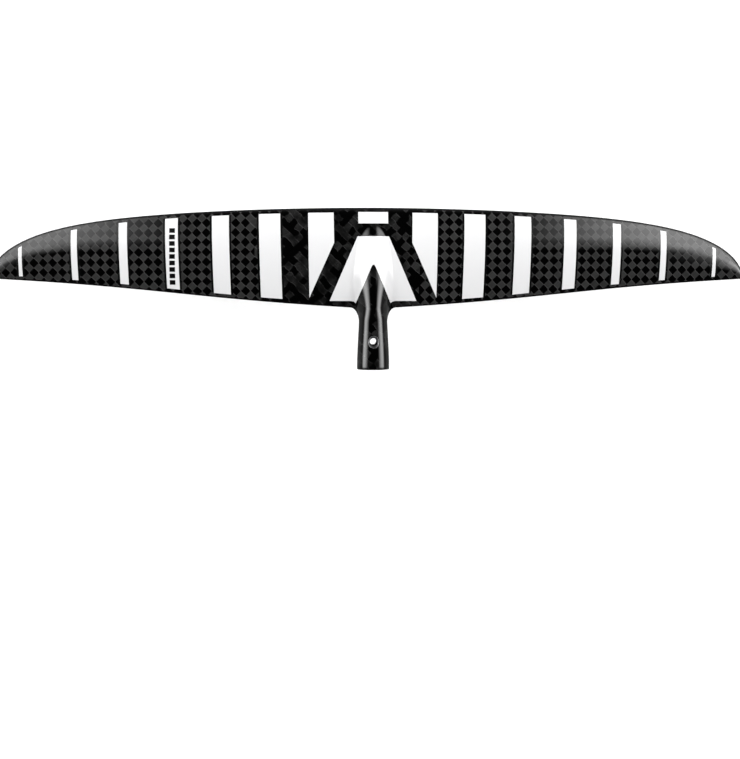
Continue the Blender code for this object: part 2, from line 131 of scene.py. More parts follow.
# Screw holes
SCREW_BORE = 0.0039
TOP_BORE = 0.0045
SCREW_HEAD = 0.0066
FERRULE_RIM = 0.0005           # width of the metal left round the cone
FERRULE_BARREL = 0.0052
RIM_DEPTH = 0.0012
CONE_DEPTH = 0.0035
CONE_LAND = 0.0008
CONE_SLOPE = (CONE_DEPTH - CONE_LAND) / (SCREW_HEAD - SCREW_BORE)
FERRULE_SHORT = 0.0002
HOLE_GAP = 0.00005
HOLE_STEPS = 96
HOLE_SOFT = 0.00012            # softening of a ferrule's edges
BORE_SOFT = 0.0003             # width of the softened step from cone to bore
BORE_SOFT_DEPTH = 0.0004
CONE_LEAST = 0.0002            # the search for the cone's edge starts this far off the bore
BISECTIONS = 30
SKIN_CUT = 0.0060              # how far a skin's cutter reaches out and in from its surface
SLEEVE_CUT = (0.0030, 0.0040)  # how far a sleeve's cutter reaches in and out from the bore
SLEEVE_STEPS = 30
MOUTH_EASE = 0.0001            # how much the mouth's outer edge is eased

# Fine grid
PANEL_STEPS = 84
PANEL_BUNCHING = 1.6
EDGE_STEPS = 8                 # rows in the plain band along the leading edge
CHORD_STEPS = 38               # rows from there to the plain band along the trailing edge
CHORD_BUNCHING = 1.3
FLAT_STEPS = 4                 # columns from the middle to the edge of the flat band
FOOT_STEPS = 14                # to the foot of the belly
CENTRE_STEPS = 18              # to the edge of the centre
FILLET_STEPS = 10
TAIL_STEPS = 20
ROUND_STEPS = 5
SCORE_SNAP = 0.00002
BAND_MOST = (0.3, 0.2)         # front and rear band at most, as shares of the chord

# Artwork: centre and width of each white stripe, from the middle outwards
STRIPES = (
    (0.0602, 0.0295), (0.1187, 0.0247), (0.1756, 0.0197), (0.2324, 0.0148),
    (0.2892, 0.0098), (0.3469, 0.0072), (0.4112, 0.0042),
)
FRONT_INSET = 0.0058
REAR_INSET = 0.0046
FRONT_BAND = 0.0024            # bare resin along the edges, beyond the cloth
REAR_BAND = 0.0016
# width of the black band round the white paint: painted shade along the paint's edge
STRIPE_EDGE_SHADE = 0.0024
STRIPE_LEAN = {1: 0.024, -1: 0.006}     # how far the stripes lean inwards to the rear
STRIPE_SHIFT = 0.0009          # the right hand stripes lie this much nearer the middle
LEAN_PIVOT_Y = 0.13            # where a leaning stripe keeps its place
MARKED_STRIPE = 3

# Plain bars in place of lettering: count, pitch, (width, length), centre of the front one
TOP_BARS = 9, 0.0075, (0.0066, 0.0054), 0.1605
LEFT_BARS = 9, 0.00726, (0.0066, 0.0056), 0.1584
RIGHT_BARS = 8, 0.00446, (0.0042, 0.0026), 0.1443
CENTRE_BLOCKS = 2, 0.0078, (0.0068, 0.0048), 0.1483
CENTRE_DASHES = 7, 0.0030, (0.0030, 0.0012), 0.1722
HOLE_DASH_WIDTH = 0.0020
HOLE_DASHES = (0.1110, 0.0080), (0.0790, 0.0095), (0.0460, 0.0095)     # centre and length

WHITE, CARBON, BLACK, EDGE = range(4)


def mix(a, b, t):
    return a + (b - a) * t


def smooth(t):
    t = min(max(t, 0.0), 1.0)
    return t * t * (3.0 - 2.0 * t)


def arc(t):
    """Height of a quarter ellipse, 1 at t = 0 and 0 from t = 1 on."""
    return math.sqrt(max(1.0 - t * t, 0.0))


# ---- the mould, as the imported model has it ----

def leading_edge(x):
    eta = min(abs(x) / HALF_SPAN, 1.0)
    rake = LE_TIP_RAKE * (1.0 - arc(eta ** (LE_TIP_POWER / 2)))
    return LEADING_EDGE_Y - LE_SWEEP * eta ** 2 - rake


def trailing_edge(x):
    eta = min(abs(x) / HALF_SPAN, 1.0)
    wave = TE_WAVE * math.sin(2.0 * math.pi * eta) / (2.0 * math.pi)
    return TRAILING_EDGE_Y + TE_SWEEP * (eta - wave)


JOIN_Y = trailing_edge(JOIN_X)


def chord_share(x, y):
    front = leading_edge(x)
    return min(max((front - y) / (front - trailing_edge(x)), 0.0), 1.0)


def middle(x, y):
    """Camber surface, where the two skins part."""
    share = chord_share(x, y)
    chord = leading_edge(x) - trailing_edge(x)
    eta = min(abs(x) / HALF_SPAN, 1.0)
    sunk = WING_DROP * smooth((y - NECK_Y) / (JOIN_Y - NECK_Y))
    return 4.0 * CAMBER * chord * share * (1.0 - share) - TIP_DROOP * eta ** DROOP_POWER - sunk


def half_thickness(x, y):
    s = chord_share(x, y)
    chord = leading_edge(x) - trailing_edge(x)
    ratio = mix(ROOT_THICKNESS, TIP_THICKNESS, min(abs(x) / HALF_SPAN, 1.0))
    shape = 0.2969 * math.sqrt(s) - 0.1260 * s - 0.3516 * s ** 2 + 0.2843 * s ** 3 - 0.1036 * s ** 4
    return 5.0 * ratio * chord * shape + EDGE_HALF


def tail_half(y):
    """Half width of the outline behind the wing: flared tail, then the fillet."""
    if y <= NECK_Y:
        behind = ((NECK_Y - y) / NECK_Y) ** FLARE_POWER
        return mix(NECK_HALF, MOUTH_HALF, math.sin(0.5 * math.pi * behind))
    return JOIN_X - (JOIN_X - NECK_HALF) * arc((y - NECK_Y) / (JOIN_Y - NECK_Y))


def fairing(x, y):
    """Height of the fairing and tail above the wing's upper surface."""
    if y <= NECK_Y:
        half = tail_half(y)
    elif y <= FAIRING_WIDE_Y:
        half = mix(NECK_HALF, FAIRING_HALF, smooth((y - NECK_Y) / (FAIRING_WIDE_Y - NECK_Y)))
    else:
        half = FAIRING_HALF * arc((y - FAIRING_WIDE_Y) / (FAIRING_NOSE_Y - FAIRING_WIDE_Y))
    if abs(x) >= half:
        return 0.0
    nose = middle(0.0, FAIRING_NOSE_Y) + half_thickness(0.0, FAIRING_NOSE_Y)
    along = max((y - FAIRING_WIDE_Y) / (FAIRING_NOSE_Y - FAIRING_WIDE_Y), 0.0)
    ridge = nose + (RIDGE_TOP - nose) * arc(along) ** FAIRING_NOSE_POWER
    rise = max(ridge - middle(0.0, y) - half_thickness(0.0, y), 0.0)
    ahead = smooth((y - NECK_Y) / (FAIRING_WIDE_Y - NECK_Y))
    return rise * (1.0 - (x / half) ** 2) ** mix(TAIL_ROUNDNESS, FAIRING_ROUNDNESS, ahead)


def belly_half(y):
    """Half width of the belly's foot, and of the flat band along its middle."""
    if y <= NECK_Y:
        half = tail_half(y)
    elif y <= BELLY_FOOT_Y:
        half = mix(NECK_HALF, BELLY_FOOT_HALF, smooth((y - NECK_Y) / (BELLY_FOOT_Y - NECK_Y)))
        half = min(half, tail_half(min(y, JOIN_Y)))
    else:
        along = (y - BELLY_FOOT_Y) / (BELLY_NOSE_Y - BELLY_FOOT_Y)
        half = mix(BELLY_FOOT_HALF, BELLY_NOSE_HALF, min(along, 1.0))
    return half, min(BELLY_FLAT_HALF, BELLY_FLAT_SHARE * half)


def belly(x, y):
    """Depth of the belly and tail below the wing's lower surface."""
    half, flat = belly_half(y)
    if abs(x) >= half or y >= BELLY_NOSE_Y:
        return 0.0
    nose = middle(0.0, BELLY_NOSE_Y) - half_thickness(0.0, BELLY_NOSE_Y)
    rising = max((y - BELLY_START_Y) / (BELLY_NOSE_Y - BELLY_START_Y), 0.0)
    keel = mix(-BELLY_DEPTH, nose, rising ** BELLY_RISE_POWER)
    drop = max(middle(0.0, y) - half_thickness(0.0, y) - keel, 0.0)
    out = max(abs(x) - flat, 0.0) / (half - flat)
    crease = TAIL_CREASE * smooth(y / TAIL_CREASE_Y)
    crease = mix(crease, NOSE_CREASE, smooth((y - NECK_Y) / (BELLY_NOSE_Y - NECK_Y)))
    return drop * (1.0 - crease * out - (1.0 - crease) * (1.0 - arc(out)))


def mould(x, y, side):
    """Height of the outer surface: side is 1 for the top and -1 for the bottom."""
    bulge = fairing(x, y) if side > 0 else belly(x, y)
    return middle(x, y) + side * (half_thickness(x, y) + bulge)


def mouth_inset(y):
    return MOUTH_ROUND * (1.0 - arc(1.0 - y / MOUTH_ROUND)) if y < MOUTH_ROUND else 0.0


def outside(x, y, side):
    """The mould with the mouth's edge rounded.  The two skins close on each other in front."""
    edge = middle(x, y) + side * EDGE_HALF * smooth(chord_share(x, y) / 0.5)
    surface = mould(x, y, side) - side * EDGE_HALF * (1.0 - smooth(chord_share(x, y) / 0.5))
    return edge + max(side * (surface - edge) - mouth_inset(y), 0.0) * side


def inside(x, y, side):
    """The mould moved in by the thickness of the laminate, and kept off the parting."""
    def rise(step_x, step_y):
        ahead, behind = mould(x + step_x, y + step_y, side), mould(x - step_x, y - step_y, side)
        return (ahead - behind) / (2.0 * NORMAL_PROBE)

    slopes = rise(NORMAL_PROBE, 0.0), rise(0.0, NORMAL_PROBE)
    depth = mix(ROOT_SKIN, TIP_SKIN, abs(x) / HALF_SPAN)
    thick = depth * math.sqrt(1.0 + slopes[0] ** 2 + slopes[1] ** 2)
    room = side * (mould(x, y, side) - middle(x, y)) - thick
    return middle(x, y) + side * max(room, 0.0)


# ---- artwork, as polygons in plan ----

def between_insets(x, share):
    """A point of the painted depth of the wing, from the front inset to the rear one."""
    front, back = leading_edge(x) - FRONT_INSET, trailing_edge(x) + REAR_INSET
    return x, mix(front, back, share)


def stripe(centre, width, side, lean_side):
    """Corners of a stripe, which leans inwards towards the trailing edge."""
    half, lean = width / 2.0, STRIPE_LEAN[lean_side]
    centre -= STRIPE_SHIFT if side > 0 else 0.0
    corners = []
    for offset, share in ((-half, 0.0), (half, 0.0), (half, 1.0), (-half, 1.0)):
        x, y = between_insets(side * (centre + offset), share)
        corners.append((x + side * lean * (y - LEAN_PIVOT_Y), y))
    return corners


def widened(corners, margin):
    """The same outline with its sides moved out in x."""
    middle_x = sum(x for x, _ in corners) / len(corners)
    return [(x + math.copysign(margin, x - middle_x), y) for x, y in corners]


def bars(centre, count, pitch, size, first_y):
    """A column of plain bars, given from the front one back."""
    half_x, half_y = size[0] / 2.0, size[1] / 2.0
    found = []
    for k in range(count):
        y = first_y - k * pitch
        found.append([(centre - half_x, y - half_y), (centre + half_x, y - half_y),
                      (centre + half_x, y + half_y), (centre - half_x, y + half_y)])
    return found


def mirrored(polygon):
    return [(-x, y) for x, y in polygon]


def top_artwork():
    """(material, polygon) pairs, later ones over earlier ones."""
    art = []
    # each white stripe lies in a black band, painted shade along its edges
    for side in (-1, 1):
        for centre, width in STRIPES[1:]:
            corners = stripe(centre, width, side, 1)
            art += [(BLACK, widened(corners, STRIPE_EDGE_SHADE)), (WHITE, corners)]
    inner = stripe(*STRIPES[0], 1, 1)
    cut = [inner[0], inner[1], (0.0738, 0.0828), (0.0451, 0.1464)]
    # the inner cut stripes get the same painted shade, half as wide
    for polygon in (cut, mirrored(cut)):
        art += [(BLACK, widened(polygon, STRIPE_EDGE_SHADE / 2)), (WHITE, polygon)]
    panel = [(-0.0181, 0.1537), (0.0181, 0.1537), (0.0505, 0.0790), (0.0262, 0.0790),
             (0.0225, 0.0782), (0.0202, 0.0764), (0.0026, 0.1178), (0.0010, 0.1206),
             (-0.0010, 0.1206), (-0.0026, 0.1178), (-0.0202, 0.0764), (-0.0225, 0.0782),
             (-0.0262, 0.0790), (-0.0505, 0.0790)]
    art.append((WHITE, panel))
    art.append((WHITE, [(-0.0173, 0.1687), (0.0173, 0.1687), (0.0173, 0.1822), (-0.0173, 0.1822)]))
    centre = -STRIPES[MARKED_STRIPE][0]
    art += [(BLACK, bar) for bar in bars(centre, *TOP_BARS)]
    return art


def bottom_artwork():
    art = []
    # each white stripe lies in a black band, painted shade along its edges
    for side in (-1, 1):
        for centre, width in STRIPES:
            corners = stripe(centre, width, side, -1)
            art += [(BLACK, widened(corners, STRIPE_EDGE_SHADE)), (WHITE, corners)]
    front, rear = leading_edge(0.0) - 0.0034, 0.0770
    centre = [(-0.0194, front), (0.0194, front), (0.0197, rear), (0.0038, 0.1195),
              (-0.0038, 0.1195), (-0.0197, rear)]
    # the white centre lies in a black band, painted shade along its sides
    art += [(BLACK, [(-0.0194 - STRIPE_EDGE_SHADE, front), (0.0194 + STRIPE_EDGE_SHADE, front),
                     (0.0194 + STRIPE_EDGE_SHADE, rear), (-0.0194 - STRIPE_EDGE_SHADE, rear)]), (WHITE, centre)]
    band = [(-0.0038, 0.1195), (0.0038, 0.1195), (0.0058, 0.1130), (0.0060, 0.0240),
            (-0.0060, 0.0240), (-0.0058, 0.1130)]
    art.append((BLACK, band))
    for middle_y, length in HOLE_DASHES:
        art += [(WHITE, bar) for bar in bars(0.0, 1, 0.0, (HOLE_DASH_WIDTH, length), middle_y)]
    marked = STRIPES[MARKED_STRIPE][0]
    for column in (bars(-marked, *LEFT_BARS), bars(marked, *RIGHT_BARS),
                   bars(0.0, *CENTRE_BLOCKS), bars(0.0, *CENTRE_DASHES)):
        art += [(BLACK, bar) for bar in column]
    return art


def holds(polygon, x, y):
    """Whether a point is inside a polygon."""
    odd = False
    for (x0, y0), (x1, y1) in zip(polygon, polygon[1:] + polygon[:1]):
        if (y0 > y) != (y1 > y) and x < x0 + (y - y0) / (y1 - y0) * (x1 - x0):
            odd = not odd
    return odd


# ---- skins ----

def tail_rows():
    fillet = [mix(NECK_Y, JOIN_Y, math.cos(0.5 * math.pi * k / FILLET_STEPS))
              for k in range(1, FILLET_STEPS + 1)]
    straight = [mix(NECK_Y, MOUTH_ROUND, k / TAIL_STEPS) for k in range(1, TAIL_STEPS + 1)]
    rounded = [MOUTH_ROUND * (1.0 - math.sin(0.5 * math.pi * k / ROUND_STEPS))
               for k in range(1, ROUND_STEPS + 1)]
    return fillet + straight + rounded


def centre_x(step, y, side):
    """Column of the centre at y.  Columns keep to the edges of the flat band and belly."""
    half = tail_half(min(y, JOIN_Y)) - mouth_inset(y)
    foot, flat = belly_half(y)
    if side > 0:
        foot, flat = half * FOOT_STEPS / CENTRE_STEPS, half * FLAT_STEPS / CENTRE_STEPS
    if step <= FLAT_STEPS:
        return flat * step / FLAT_STEPS
    if step <= FOOT_STEPS:
        ahead = mix(flat, foot, (step - FLAT_STEPS) / (FOOT_STEPS - FLAT_STEPS))
    else:
        ahead = mix(foot, half, (step - FOOT_STEPS) / (CENTRE_STEPS - FOOT_STEPS))
    turn = 0.5 * math.pi * (step - FLAT_STEPS) / (CENTRE_STEPS - FLAT_STEPS)
    behind = mix(flat, half, math.sin(turn))
    return mix(behind, ahead, smooth((y - NECK_Y) / (JOIN_Y - NECK_Y)))


def chord_rows(x):
    """Rows from the leading edge back, with one on the inner side of each plain band."""
    front, back = leading_edge(x), max(trailing_edge(x), JOIN_Y)
    chord = front - back
    cloth = (front - min(FRONT_BAND, BAND_MOST[0] * chord),
             back + min(REAR_BAND, BAND_MOST[1] * chord))
    rows = [mix(front, cloth[0], (k / EDGE_STEPS) ** 2) for k in range(EDGE_STEPS)]
    rows += [mix(*cloth, (k / CHORD_STEPS) ** CHORD_BUNCHING) for k in range(CHORD_STEPS + 1)]
    return rows + [back]


def column_x(i, y, side):
    """x of column i, counted from the middle, negative to the left."""
    step = abs(i)
    if step <= CENTRE_STEPS:
        return math.copysign(centre_x(step, y, side), i)
    share = 1.0 - (1.0 - (step - CENTRE_STEPS) / PANEL_STEPS) ** PANEL_BUNCHING
    return math.copysign(mix(JOIN_X, TIP_ETA * HALF_SPAN, share), i)


def plan_mesh(side):
    """Flat mesh of a skin's plan: two panels, the centre, and the tail behind it."""
    mesh = bmesh.new()
    last = CENTRE_STEPS + PANEL_STEPS
    rows = tail_rows()
    points = {}
    for i in range(-last, last + 1):
        outer = column_x(i, JOIN_Y, side) if abs(i) > CENTRE_STEPS else JOIN_X * i / CENTRE_STEPS
        for j, y in enumerate(chord_rows(outer)):
            x = column_x(i, y, side)
            points[i, j] = mesh.verts.new((x, chord_rows(x)[j], 0.0))
        if abs(i) <= CENTRE_STEPS:
            for j, y in enumerate(rows, len(chord_rows(outer))):
                points[i, j] = mesh.verts.new((column_x(i, y, side), y, 0.0))
    for (i, j) in points:
        corners = [points.get(key) for key in ((i, j), (i, j + 1), (i + 1, j + 1), (i + 1, j))]
        if None not in corners:
            mesh.faces.new(corners)
    return mesh


def score(mesh, start, end):
    """Cuts the faces along a segment, so that paint can stop there."""
    (x0, y0), (x1, y1) = start, end
    low = min(x0, x1) - SCORE_SNAP, min(y0, y1) - SCORE_SNAP
    high = max(x0, x1) + SCORE_SNAP, max(y0, y1) + SCORE_SNAP
    faces = []
    for face in mesh.faces:
        xs = [v.co.x for v in face.verts]
        if max(xs) < low[0] or min(xs) > high[0]:
            continue
        ys = [v.co.y for v in face.verts]
        if max(ys) >= low[1] and min(ys) <= high[1]:
            faces.append(face)
    edges = {edge for face in faces for edge in face.edges}
    verts = {vert for face in faces for vert in face.verts}
    normal = Vector((y1 - y0, x0 - x1, 0.0)).normalized()
    bmesh.ops.bisect_plane(mesh, geom=[*verts, *edges, *faces], dist=SCORE_SNAP,
                           plane_co=(x0, y0, 0.0), plane_no=normal)


def paint(mesh, artwork):
    """Scores every outline of the artwork and gives each face its paint."""
    for _, polygon in artwork:
        for start, end in zip(polygon, polygon[1:] + polygon[:1]):
            score(mesh, start, end)
    boxes = [(min(x for x, _ in outline), max(x for x, _ in outline),
              min(y for _, y in outline), max(y for _, y in outline)) for _, outline in artwork]
    for face in mesh.faces:
        centre = face.calc_center_median()
        face.material_index = CARBON
        ahead, behind = leading_edge(centre.x) - centre.y, centre.y - trailing_edge(centre.x)
        if ahead < FRONT_BAND or (abs(centre.x) > JOIN_X and behind < REAR_BAND):
            face.material_index = BLACK
        for (material, polygon), (x0, x1, y0, y1) in zip(artwork, boxes):
            if x0 < centre.x < x1 and y0 < centre.y < y1 and holds(polygon, centre.x, centre.y):
                face.material_index = material


def thicken(mesh, side):
    """Raises the flat plan to the mould and closes it with an inner face and a rim."""
    outer = list(mesh.faces)
    rim = [edge for edge in mesh.edges if len(edge.link_faces) == 1]
    lower = {v: mesh.verts.new((v.co.x, v.co.y, inside(v.co.x, v.co.y, side)))
             for v in list(mesh.verts)}
    for vert in lower:
        vert.co.z = outside(vert.co.x, vert.co.y, side)
    for face in outer:
        back = mesh.faces.new([lower[v] for v in reversed(face.verts)])
        back.material_index = EDGE
    for edge in rim:
        loop = edge.link_loops[0]
        a, b = loop.vert, loop.link_loop_next.vert
        wall = mesh.faces.new((b, a, lower[a], lower[b]))
        wall.material_index = EDGE
    bmesh.ops.recalc_face_normals(mesh, faces=mesh.faces)


def solid(mesh, name, materials, origin=(0.0, 0.0, 0.0), sharp=35.0):
    """A finished object from a mesh in the row frame, with its own origin."""
    data = bpy.data.meshes.new(name)
    mesh.to_mesh(data)
    mesh.free()
    for vertex in data.vertices:
        vertex.co -= Vector(origin)
    for material in materials:
        data.materials.append(material)
    thing = bpy.data.objects.new(name, data)
    thing.location = origin
    bpy.context.scene.collection.objects.link(thing)
    data.shade_smooth()
    data.set_sharp_from_angle(angle=math.radians(sharp))
    return thing


def carve(thing, cutter):
    """Takes the cutter out of a piece, for good."""
    boolean = thing.modifiers.new("carve", "BOOLEAN")
    boolean.operation = "DIFFERENCE"
    boolean.solver = "EXACT"
    boolean.object = cutter
    bpy.context.view_layer.update()
    graph = bpy.context.evaluated_depsgraph_get()
    carved = bpy.data.meshes.new_from_object(thing.evaluated_get(graph))
    thing.modifiers.clear()
    thing.data = carved
    bpy.data.objects.remove(cutter)


def build_skin(side, name, node, artwork, holes, materials):
    mesh = plan_mesh(side)
    paint(mesh, artwork)
    thicken(mesh, side)
    skin = solid(mesh, name, materials)
    for hole in holes:
        carve(skin, hole)
    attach(skin, ROOT)
    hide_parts(node)


# ---- screw holes ----

def countersink(y, side, bore):
    """Outline where the cone meets the skin: radius for each step round the hole."""
    face = mould(0.0, y, side)
    radii = []
    for k in range(HOLE_STEPS):
        angle = 2.0 * math.pi * k / HOLE_STEPS
        c, s = math.cos(angle), math.sin(angle)
        low, high = bore + CONE_LEAST, SCREW_HEAD
        for _ in range(BISECTIONS):
            radius = (low + high) / 2.0
            cone = face - side * (SCREW_HEAD - radius) * CONE_SLOPE
            over = side * (outside(radius * c, y + radius * s, side) - cone) > 0.0
            low, high = (radius, high) if over else (low, radius)
        radii.append(low)
    return radii


def around(y, radii, height):
    loop = []
    for k in range(HOLE_STEPS):
        angle = 2.0 * math.pi * k / HOLE_STEPS
        radius = radii[k] if isinstance(radii, list) else radii
        x, along = radius * math.cos(angle), y + radius * math.sin(angle)
        loop.append((x, along, height(x, along) if callable(height) else height))
    return loop


def lathe(loops, capped):
    mesh = bmesh.new()
    rows = [[mesh.verts.new(point) for point in loop] for loop in loops]
    pairs = list(zip(rows, rows[1:]))
    if not capped:
        pairs.append((rows[-1], rows[0]))
    for low, high in pairs:
        for k in range(len(low)):
            n = (k + 1) % len(low)
            mesh.faces.new((low[k], low[n], high[n], high[k]))
    if capped:
        mesh.faces.new(list(reversed(rows[0])))
        mesh.faces.new(rows[-1])
    bmesh.ops.recalc_face_normals(mesh, faces=mesh.faces)
    return mesh


def bore_size(y):
    along = y / SLEEVE_LENGTH
    top, bottom = mix(*BORE_TOP, along), mix(*BORE_BOTTOM, along)
    return mix(*BORE_HALF, along), (top + bottom) / 2, (top - bottom) / 2


def hole_cutter(name, y, side, radii):
    face = mould(0.0, y, side)
    loops = [around(y, radii, face + side * reach) for reach in (SKIN_CUT, -SKIN_CUT)]
    return solid(lathe(loops, True), name, [])


def build_ferrule(node, materials):
    """Satin lining of a screw hole: flush rim, cone and bore, with softened edges."""
    low, high = FERRULES[node]
    y = (low.y + high.y) / 2.0
    side = 1 if high.z > 0.0 else -1
    bore = TOP_BORE if side > 0 else SCREW_BORE
    face = mould(0.0, y, side)
    _, centre, tall = bore_size(y)
    wall = centre + side * (tall + FERRULE_SHORT)
    lip = countersink(y, side, bore)
    rim = [radius + FERRULE_RIM for radius in lip]

    def level(drop):
        return lambda x, along: outside(x, along, side) - side * drop

    foot = face - side * (SCREW_HEAD - bore) * CONE_SLOPE
    loops = [
        around(y, FERRULE_BARREL, wall), around(y, FERRULE_BARREL, face - side * CONE_DEPTH),
        around(y, rim, level(RIM_DEPTH)), around(y, rim, level(HOLE_SOFT)),
        around(y, [radius - HOLE_SOFT for radius in rim], level(0.0)),
        around(y, [radius + HOLE_SOFT for radius in lip], level(0.0)),
        around(y, [radius - HOLE_SOFT for radius in lip], level(HOLE_SOFT * 2.0)),
        around(y, bore + BORE_SOFT, foot + side * BORE_SOFT * CONE_SLOPE),
        around(y, bore, foot - side * BORE_SOFT_DEPTH), around(y, bore, wall),
    ]
    ferrule = solid(lathe(loops, False), node + "_lining", materials, origin=(0.0, y, face))
    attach(ferrule, ROOT)
    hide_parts(node)
    return y, side, [radius + HOLE_GAP for radius in rim]


def build_sleeve(materials, holes):
    """Laminated sleeve of the socket, with an eased mouth and a hole for each ferrule."""
    def loop(y, extra):
        half, centre, tall = bore_size(y)
        points = []
        for k in range(HOLE_STEPS):
            angle = 2.0 * math.pi * k / HOLE_STEPS
            c, s = math.cos(angle), math.sin(angle)
            x = (half + extra) * math.copysign(abs(c) ** (2.0 / BORE_POWER), c)
            z = (tall + extra) * math.copysign(abs(s) ** (2.0 / BORE_POWER), s)
            points.append((x, y, centre + z))
        return points

    ys = [SLEEVE_LENGTH * k / SLEEVE_STEPS for k in range(1, SLEEVE_STEPS + 1)]
    loops = [loop(MOUTH_CHAMFER, SLEEVE_WALL)] + [loop(y, SLEEVE_WALL) for y in ys]
    loops += [loop(y, 0.0) for y in reversed(ys)]
    loops += [loop(MOUTH_CHAMFER, 0.0), loop(0.0, MOUTH_CHAMFER),
              loop(0.0, SLEEVE_WALL - MOUTH_EASE)]
    sleeve = solid(lathe(loops, False), "socket_sleeve_laminate", materials)
    for name, y, side in holes:
        _, centre, tall = bore_size(y)
        reach = [centre + side * (tall - SLEEVE_CUT[0]), centre + side * (tall + SLEEVE_CUT[1])]
        cutter = lathe([around(y, FERRULE_BARREL + HOLE_GAP, z) for z in reach], True)
        carve(sleeve, solid(cutter, "sleeve_hole_" + name, []))
    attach(sleeve, ROOT)
    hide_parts("socket_sleeve")


# ---- materials ----

class Nodes:
    """Short hand for the node tree of a material or a world."""

    def __init__(self, owner, shader="Principled BSDF"):
        owner.use_nodes = True
        self.owner = owner
        self.tree = owner.node_tree
        self.shader = self.tree.nodes[shader]

    def add(self, kind, **settings):
        node = self.tree.nodes.new(kind)
        for key, value in settings.items():
            setattr(node, key, value)
        return node

    def link(self, value, socket):
        if hasattr(value, "is_output"):
            self.tree.links.new(value, socket)
        else:
            socket.default_value = value

    def math(self, operation, a, b=0.0):
        node = self.add("ShaderNodeMath", operation=operation)
        for socket, value in zip(node.inputs, (a, b)):
            self.link(value, socket)
        return node.outputs[0]

    def ramp(self, value, low, high, to_low=0.0, to_high=1.0):
        node = self.add("ShaderNodeMapRange", interpolation_type="SMOOTHSTEP")
        for key, item in zip(("Value", "From Min", "From Max", "To Min", "To Max"),
                             (value, low, high, to_low, to_high)):
            self.link(item, node.inputs[key])
        return node.outputs[0]

    def colour(self, share, first, second):
        node = self.add("ShaderNodeMix", data_type="RGBA")
        self.link(share, node.inputs[0])
        for socket, value in ((node.inputs[6], first), (node.inputs[7], second)):
            self.link(value if hasattr(value, "is_output") else (*value, 1.0), socket)
        return node.outputs[2]

    def vector(self, x, y, z=0.0):
        node = self.add("ShaderNodeCombineXYZ")
        for socket, value in zip(node.inputs, (x, y, z)):
            self.link(value, socket)
        return node.outputs[0]

    def place(self):
        """X, Y and Z of the point in the piece's own frame."""
        source = self.add("ShaderNodeTexCoord").outputs["Object"]
        parts = self.add("ShaderNodeSeparateXYZ")
        self.link(source, parts.inputs[0])
        return source, *parts.outputs

    def noise(self, vector, scale, detail=2.0, roughness=0.5):
        node = self.add("ShaderNodeTexNoise")
        self.link(vector, node.inputs["Vector"])
        self.link(scale, node.inputs["Scale"])
        self.link(detail, node.inputs["Detail"])
        self.link(roughness, node.inputs["Roughness"])
        return node.outputs["Fac"]

    def bump(self, height, distance, strength=1.0):
        node = self.add("ShaderNodeBump")
        self.link(height, node.inputs["Height"])
        self.link(distance, node.inputs["Distance"])
        self.link(strength, node.inputs["Strength"])
        self.link(node.outputs[0], self.shader.inputs["Normal"])

    def set(self, **values):
        for key, value in values.items():
            self.link(value, self.shader.inputs[key.replace("_", " ")])


TOW = 0.00795                  # width of one spread tow
WEAVE_PHASE = 0.0070
WEAVE_TURN = 0.005             # the cloth lies this slope off square to the span
WEAVE_SQUARE_X = 0.30
STIR_SIDE = 0.035              # the cloth is most disturbed this far left of the middle
STIR_LEAST = 0.0008            # how far the cloth wanders everywhere
STIR_MOST = 0.0065             # and how much further where it is disturbed
STIR_SCALE = 85.0
STIR_REACH = (0.050, 0.120)    # all disturbed up to the first distance, not past the second
STIR_OFFSET = (0.37, 0.11, 0.0)          # tells the two directions of the wandering apart
SWAPPED_SHARE = 0.28           # crossings turned over where it is disturbed
CELLS_ABOVE_ZERO = 1000.0      # even, so it leaves the weave as it is
FIBRE_ALONG, FIBRE_ACROSS = 0.5, 16.0    # noise cells of the fibres, per tow
PATCH_SCALE = 90.0             # patches where the cloth is disturbed, in which the painted sheen of the upper tows is dimmed
PATCH_LIFT, PATCH_SHADE = -0.4, 0.90
# colours of the weave: the paler upper tows are painted sheen, and their lighter edge is a painted
# highlight
DARK_TOW, SHEEN_TOW, TOW_EDGE_HIGHLIGHT = (0.0008, 0.0008, 0.0008), (0.038, 0.038, 0.0375), (0.12, 0.12, 0.12)
WEAVE_DEPTH = 0.00004
PLY = 0.00028                  # thickness of one ply
TOOL_FEED = 0.00022            # between the rings that turning leaves in metal


